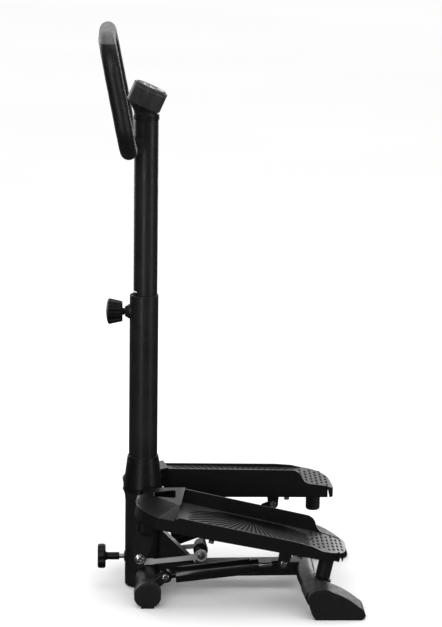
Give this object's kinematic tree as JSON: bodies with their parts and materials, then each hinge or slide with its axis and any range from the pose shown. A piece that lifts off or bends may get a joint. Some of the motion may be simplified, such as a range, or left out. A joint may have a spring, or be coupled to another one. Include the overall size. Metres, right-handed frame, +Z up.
{
  "type": "mini stepper with handlebar",
  "caption": "Mini stepper for exercise: linked pedals on dampers, a low steel base, a height-adjustable post, a leaning loop handlebar with foam grips and a small round console.",
  "frame": {"origin": "on the floor, midway between the front knob and the rear feet, in the centre plane", "axes": "+Z up, +X to the rear where the user steps on, +Y to the user's right"},
  "size_m": [0.5511, 0.47, 1.1869],
  "materials": {
    "black_steel": "satin black powder coat",
    "damper_black": "gloss black",
    "grey_steel": "light grey, satin",
    "black_plastic": "black, fine grain",
    "tread_plastic": "dark grey moulded, ribbed tread",
    "console_black": "black, smooth",
    "display_glass": "clear over a grey display",
    "circuit": "circuit board green",
    "button_grey": "light grey, smooth",
    "chrome": "bright plated",
    "zinc_steel": "zinc plated",
    "steel_rope": "twisted strands",
    "black_rubber": "matte",
    "black_foam": "soft foam, closed skin",
    "grey_foam": "soft foam, closed skin"
  },
  "bodies": {
    "base": {"base_post": "black_steel", "base_plug": "black_plastic", "front_stabilizer": "black_steel", "front_caps": "black_rubber", "damper_brackets": "black_steel", "damper_pins": "chrome", "pivot_bolts": "chrome", "rear_stabilizer": "black_steel", "rear_feet": "black_rubber", "centre_beam": "black_steel", "gusset": "black_steel", "pulley_stays": "grey_steel", "pulley_axle": "chrome", "outer_tube": "black_steel", "post_collar": "black_plastic", "collar_screws": "chrome", "tube_bushing": "black_plastic", "rope_loop": "steel_rope"},
    "mast": {"inner_tube": "black_steel", "handle_saddle": "black_steel", "handle_bolts": "chrome", "handlebar_tube": "black_steel", "foam_grip": "black_foam", "top_grip": "grey_foam", "console_neck": "black_plastic", "console_housing": "console_black", "console_bezel": "console_black", "console_display": "display_glass", "console_works": "circuit"},
    "console_button": {"console_button": "button_grey"},
    "left_pedal": {"left_footplate": "tread_plastic", "left_pedal_pan": "black_steel", "left_hinge_bush": "black_plastic", "left_bumper": "black_rubber", "left_rod_bracket": "black_steel", "left_rod_pin": "chrome", "left_footplate_screws": "zinc_steel", "left_rope": "steel_rope"},
    "right_pedal": {"right_footplate": "tread_plastic", "right_pedal_pan": "black_steel", "right_hinge_bush": "black_plastic", "right_bumper": "black_rubber", "right_rod_bracket": "black_steel", "right_rod_pin": "chrome", "right_footplate_screws": "zinc_steel", "right_rope": "steel_rope"},
    "left_damper": {"left_damper_tube": "damper_black"},
    "right_damper": {"right_damper_tube": "damper_black"},
    "left_rod": {"left_piston_rod": "chrome", "left_rod_eye": "damper_black"},
    "right_rod": {"right_piston_rod": "chrome", "right_rod_eye": "damper_black"},
    "left_wheel": {"left_guide_wheel": "black_plastic"},
    "right_wheel": {"right_guide_wheel": "black_plastic"},
    "tension_screw": {"tension_screw": "zinc_steel", "tension_knob": "black_plastic"},
    "tension_yoke": {"tension_yoke": "zinc_steel"},
    "tension_pulley": {"tension_pulley": "black_plastic"},
    "height_spindle": {"height_spindle": "zinc_steel"},
    "height_knob": {"height_knob": "black_plastic"}
  },
  "joints": [
    {"name": "left_pedal_hinge", "type": "hinge", "parent": "base", "child": "left_pedal", "pos_m": [-0.1875, 0, 0.072], "axis": [0, -1, 0], "range_deg": [0, 11.8], "deforming": ["left_rope"]},
    {"name": "right_pedal_hinge", "type": "hinge", "parent": "base", "child": "right_pedal", "pos_m": [-0.1875, 0, 0.072], "axis": [0, 1, 0], "range_deg": [0, 11.8], "deforming": ["right_rope"]},
    {"name": "left_damper_swing", "type": "hinge", "parent": "base", "child": "left_damper", "pos_m": [-0.1342, -0.116, 0.056], "axis": [0, -1, 0], "range_deg": [0, 14.2]},
    {"name": "right_damper_swing", "type": "hinge", "parent": "base", "child": "right_damper", "pos_m": [-0.1342, 0.116, 0.056], "axis": [0, 1, 0], "range_deg": [0, 14.2]},
    {"name": "left_rod_slide", "type": "slide", "parent": "left_damper", "child": "left_rod", "axis": [0.9933, 0, 0.1158], "range_m": [0, 0.0058]},
    {"name": "right_rod_slide", "type": "slide", "parent": "right_damper", "child": "right_rod", "axis": [-0.9354, 0, -0.3537], "range_m": [0, 0.0058]},
    {"name": "left_wheel_turn", "type": "hinge", "parent": "base", "child": "left_wheel", "pos_m": [-0.0575, 0, 0.0755], "axis": [0, -1, 0], "range_deg": [0, 110]},
    {"name": "right_wheel_turn", "type": "hinge", "parent": "base", "child": "right_wheel", "pos_m": [-0.0575, 0, 0.0755], "axis": [0, 1, 0], "range_deg": [0, 110]},
    {"name": "tension_knob_turn", "type": "hinge", "parent": "base", "child": "tension_screw", "pos_m": [-0.2675, 0, 0.062], "axis": [-1, 0, 0], "range_deg": [0, 1800]},
    {"name": "tension_yoke_slide", "type": "slide", "parent": "base", "child": "tension_yoke", "axis": [1, 0, 0], "range_m": [0, 0.0075]},
    {"name": "tension_pulley_turn", "type": "hinge", "parent": "tension_yoke", "child": "tension_pulley", "pos_m": [-0.1045, 0, 0.062], "axis": [0, 0, 1], "range_deg": [0, 246]},
    {"name": "height_slide", "type": "slide", "parent": "base", "child": "mast", "axis": [0, 0, 1], "range_m": [-0.1, 0.1]},
    {"name": "height_spindle_slide", "type": "slide", "parent": "base", "child": "height_spindle", "axis": [-1, 0, 0], "range_m": [0, 0.003]},
    {"name": "height_knob_turn", "type": "hinge", "parent": "height_spindle", "child": "height_knob", "pos_m": [-0.2465, 0, 0.5945], "axis": [-1, 0, 0], "range_deg": [0, 720]},
    {"name": "button_press", "type": "slide", "parent": "mast", "child": "console_button", "axis": [-0.4067, 0, -0.9135], "range_m": [0, 0.0015], "stiffness_N_per_m": 400}
  ],
  "couplings": [
    {"joint": "right_pedal_hinge", "follows": "left_pedal_hinge", "ratio": 1},
    {"joint": "left_damper_swing", "follows": "left_pedal_hinge", "ratio": 1.1916},
    {"joint": "right_damper_swing", "follows": "left_pedal_hinge", "ratio": 1.1916},
    {"joint": "left_rod_slide", "follows": "left_pedal_hinge", "m_per_rad": 0.028109},
    {"joint": "right_rod_slide", "follows": "left_pedal_hinge", "m_per_rad": 0.028109},
    {"joint": "left_wheel_turn", "follows": "left_pedal_hinge", "ratio": 9.1667},
    {"joint": "right_wheel_turn", "follows": "left_pedal_hinge", "ratio": 9.1667},
    {"joint": "tension_pulley_turn", "follows": "left_pedal_hinge", "ratio": 20.625},
    {"joint": "tension_yoke_slide", "follows": "tension_knob_turn", "m_per_rad": 0.00023873},
    {"joint": "height_spindle_slide", "follows": "height_knob_turn", "m_per_rad": 0.00023873}
  ]
}
